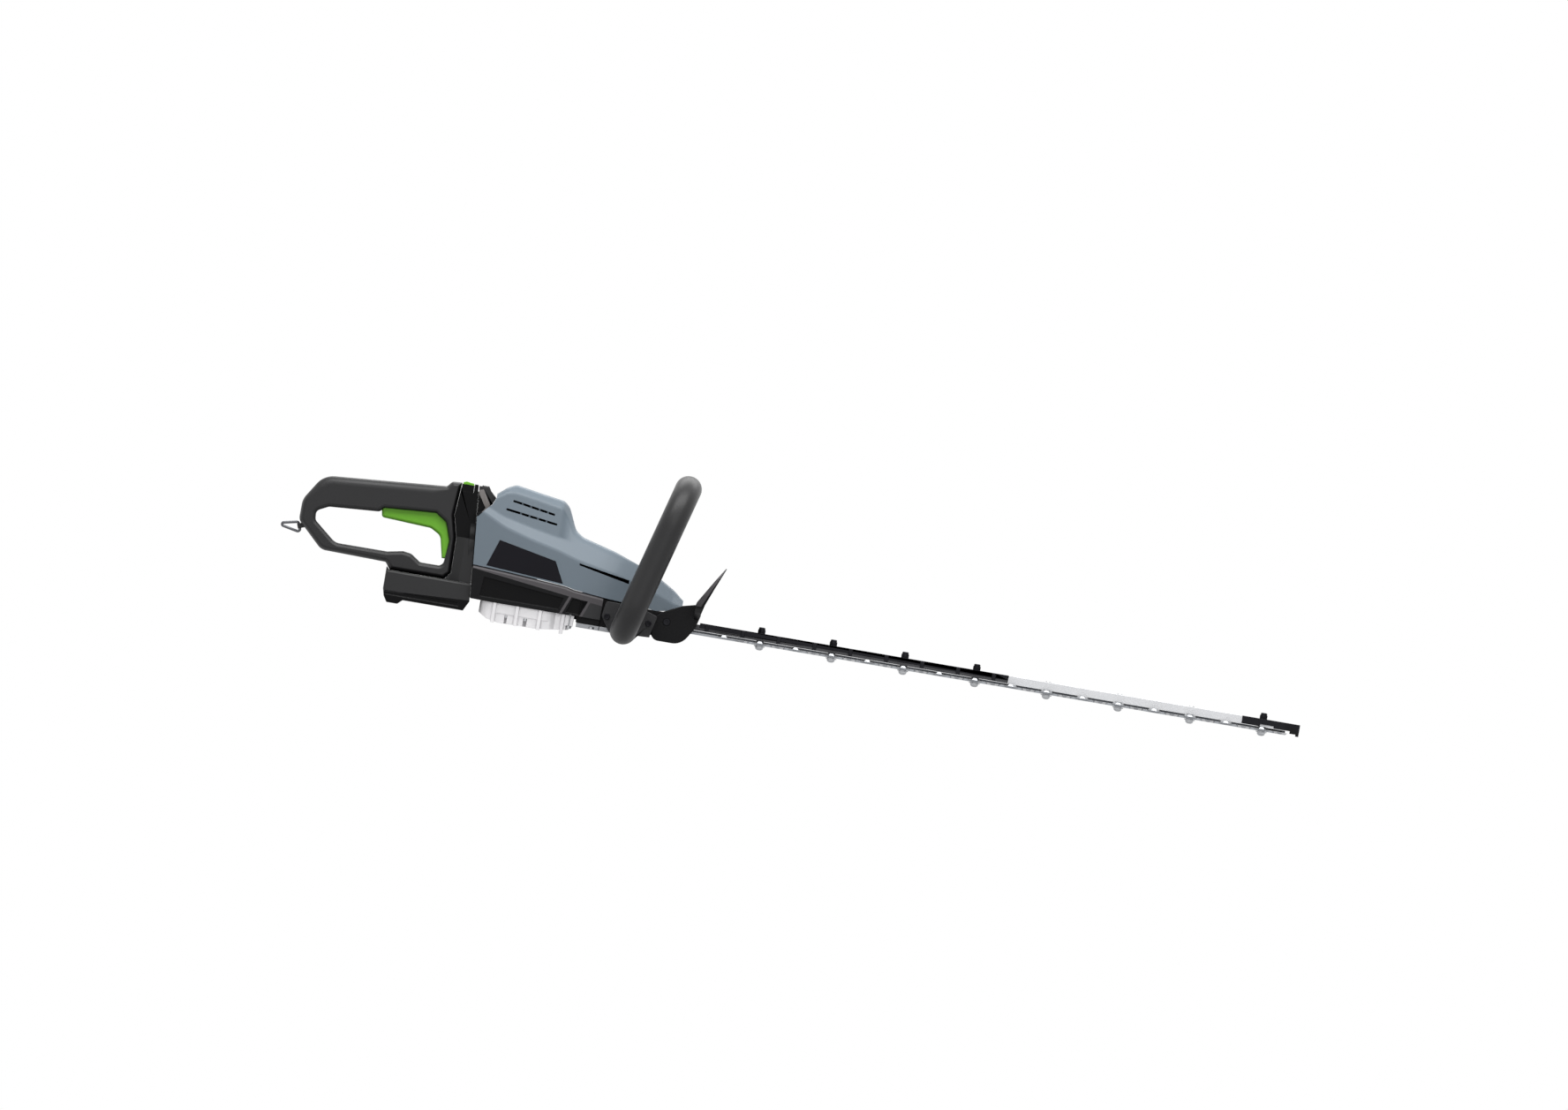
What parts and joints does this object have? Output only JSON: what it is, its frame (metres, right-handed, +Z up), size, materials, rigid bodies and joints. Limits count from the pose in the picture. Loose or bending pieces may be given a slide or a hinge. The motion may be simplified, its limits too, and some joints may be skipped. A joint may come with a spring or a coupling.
{
  "type": "hedge trimmer",
  "caption": "Long double-sided hedge trimmer: ribbed gear housing, swivelling D-handle with trigger, rubber-covered loop handle, hand guard, guide bar and two opposed reciprocating blades.",
  "frame": {"origin": "centre of the bounding box in X and Y, on its lowest plane", "axes": "+X forward along the blades, +Y to the user's left, +Z up with the tool level on its blades"},
  "size_m": [1.1235, 0.229, 0.1915],
  "materials": {
    "housing_grey": "satin blue-grey painted moulding",
    "panel_black": "gloss near-black blank panel",
    "charcoal": "fine-grained charcoal nylon",
    "neck_black": "gloss black moulding",
    "black_plastic": "black glass-filled nylon",
    "green": "bright green moulding",
    "cast": "bare die-cast aluminium",
    "case_cast": "dark die casting",
    "motor_cast": "machined aluminium",
    "lamination": "lacquered steel laminations",
    "copper": "enamelled copper wire",
    "bearing_steel": "ground bearing steel",
    "zinc_steel": "zinc-plated steel",
    "black_steel": "black oxide steel",
    "forged_steel": "machined steel",
    "blade_dark": "ground and oiled dark blade steel",
    "blade_bright": "ground blade steel",
    "bar_alu": "extruded aluminium",
    "rubber": "moulded rubber",
    "tube_alu": "drawn aluminium tube",
    "controller": "blue anodised heat sink",
    "contact": "plated contact metal",
    "wire": "polished steel wire"
  },
  "bodies": {
    "housing": {"top_cover": "housing_grey", "side_panels": "panel_black", "base_frame": "black_plastic", "gear_case": "case_cast", "gear_cover": "cast", "swivel_collar": "charcoal", "motor_flange": "motor_cast", "motor_screws": "zinc_steel", "motor_end_bracket": "motor_cast", "motor_stator": "lamination", "stator_coils": "copper", "motor_bearings": "bearing_steel", "crank_bearings": "bearing_steel", "controller": "controller", "nose_block": "black_plastic", "bottom_plate": "motor_cast", "guide_bar": "bar_alu", "bar_cover": "black_steel", "tip_guard": "black_steel", "blade_bolts": "zinc_steel", "blade_nuts": "black_steel", "blade_bushes": "bearing_steel", "bar_screws": "zinc_steel", "hand_guard": "black_plastic", "guard_screws": "black_steel", "loop_tube": "tube_alu", "loop_grip": "rubber", "loop_bracket": "charcoal", "loop_clamp_screws": "zinc_steel", "cover_screws": "zinc_steel", "gear_cover_screws": "zinc_steel", "release_spring": "zinc_steel"},
    "rotor": {"motor_rotor": "lamination", "motor_shaft": "bearing_steel", "cooling_fan": "charcoal"},
    "crank": {"crank_gear": "forged_steel", "crank_shaft": "bearing_steel"},
    "upper_rod_body": {"upper_rod": "forged_steel", "upper_rod_pin": "bearing_steel"},
    "lower_rod_body": {"lower_rod": "forged_steel", "lower_rod_pin": "bearing_steel"},
    "upper_blade_body": {"upper_blade": "blade_dark"},
    "lower_blade_body": {"lower_blade": "blade_bright"},
    "rear_handle": {"handle_half_right": "charcoal", "handle_half_left": "charcoal", "handle_screws": "zinc_steel", "swivel_neck": "neck_black", "spindle_ring": "motor_cast", "port_housing": "charcoal", "terminal_block": "black_plastic", "contact_blades": "contact", "switch_module": "black_plastic", "trigger_pin": "zinc_steel", "trigger_spring": "zinc_steel", "lock_spring": "zinc_steel"},
    "trigger_body": {"trigger": "green"},
    "lock_button_body": {"lock_button": "green"},
    "ring_body": {"hanging_ring": "wire"},
    "release_button_body": {"release_button": "charcoal"}
  },
  "joints": [
    {"name": "handle_swivel", "type": "hinge", "parent": "housing", "child": "rear_handle", "pos_m": [-0.34975, 0, 0.079], "axis": [0.9962, 0, 0.0872], "range_deg": [-90, 90]},
    {"name": "trigger_press", "type": "hinge", "parent": "rear_handle", "child": "trigger_body", "pos_m": [-0.44925, 0, 0.1065], "axis": [0, -1, 0], "range_deg": [0, 4], "stiffness_Nm_per_rad": 1.2, "springref_deg": -4.01, "deforming": ["trigger_spring"]},
    {"name": "lock_off_press", "type": "slide", "parent": "rear_handle", "child": "lock_button_body", "axis": [0, 0, -1], "range_m": [0, 0.003], "stiffness_N_per_m": 400, "springref_m": -0.002, "deforming": ["lock_spring"]},
    {"name": "ring_swing", "type": "hinge", "parent": "rear_handle", "child": "ring_body", "pos_m": [-0.54125, 0, 0.072], "axis": [0.3786, 0, -0.9255], "range_deg": [-60, 60]},
    {"name": "release_press", "type": "slide", "parent": "housing", "child": "release_button_body", "axis": [0, 0, -1], "range_m": [0, 0.003], "stiffness_N_per_m": 400, "springref_m": -0.002, "deforming": ["release_spring"]},
    {"name": "crank_spin", "type": "hinge", "parent": "housing", "child": "crank", "pos_m": [-0.26725, 0, 0.05], "axis": [0, 0, 1], "continuous": true},
    {"name": "motor_spin", "type": "hinge", "parent": "housing", "child": "rotor", "pos_m": [-0.30475, 0, 0.05], "axis": [0, 0, 1], "continuous": true},
    {"name": "upper_rod_turn", "type": "hinge", "parent": "crank", "child": "upper_rod_body", "pos_m": [-0.26725, 0.00981, 0.0305], "axis": [0, 0, 1], "continuous": true},
    {"name": "lower_rod_turn", "type": "hinge", "parent": "crank", "child": "lower_rod_body", "pos_m": [-0.26725, -0.00981, 0.0205], "axis": [0, 0, 1], "continuous": true},
    {"name": "upper_blade_stroke", "type": "slide", "parent": "housing", "child": "upper_blade_body", "axis": [1, 0, 0], "range_m": [-0.0098, 0.0098]},
    {"name": "lower_blade_stroke", "type": "slide", "parent": "housing", "child": "lower_blade_body", "axis": [1, 0, 0], "range_m": [-0.0098, 0.0098]}
  ],
  "couplings": [
    {"joint": "motor_spin", "follows": "crank_spin", "ratio": -4},
    {"joint": "upper_rod_turn", "follows": "crank_spin", "ratio": -1},
    {"joint": "lower_rod_turn", "follows": "crank_spin", "ratio": -1},
    {"joint": "lower_blade_stroke", "follows": "upper_blade_stroke", "ratio": -1}
  ]
}
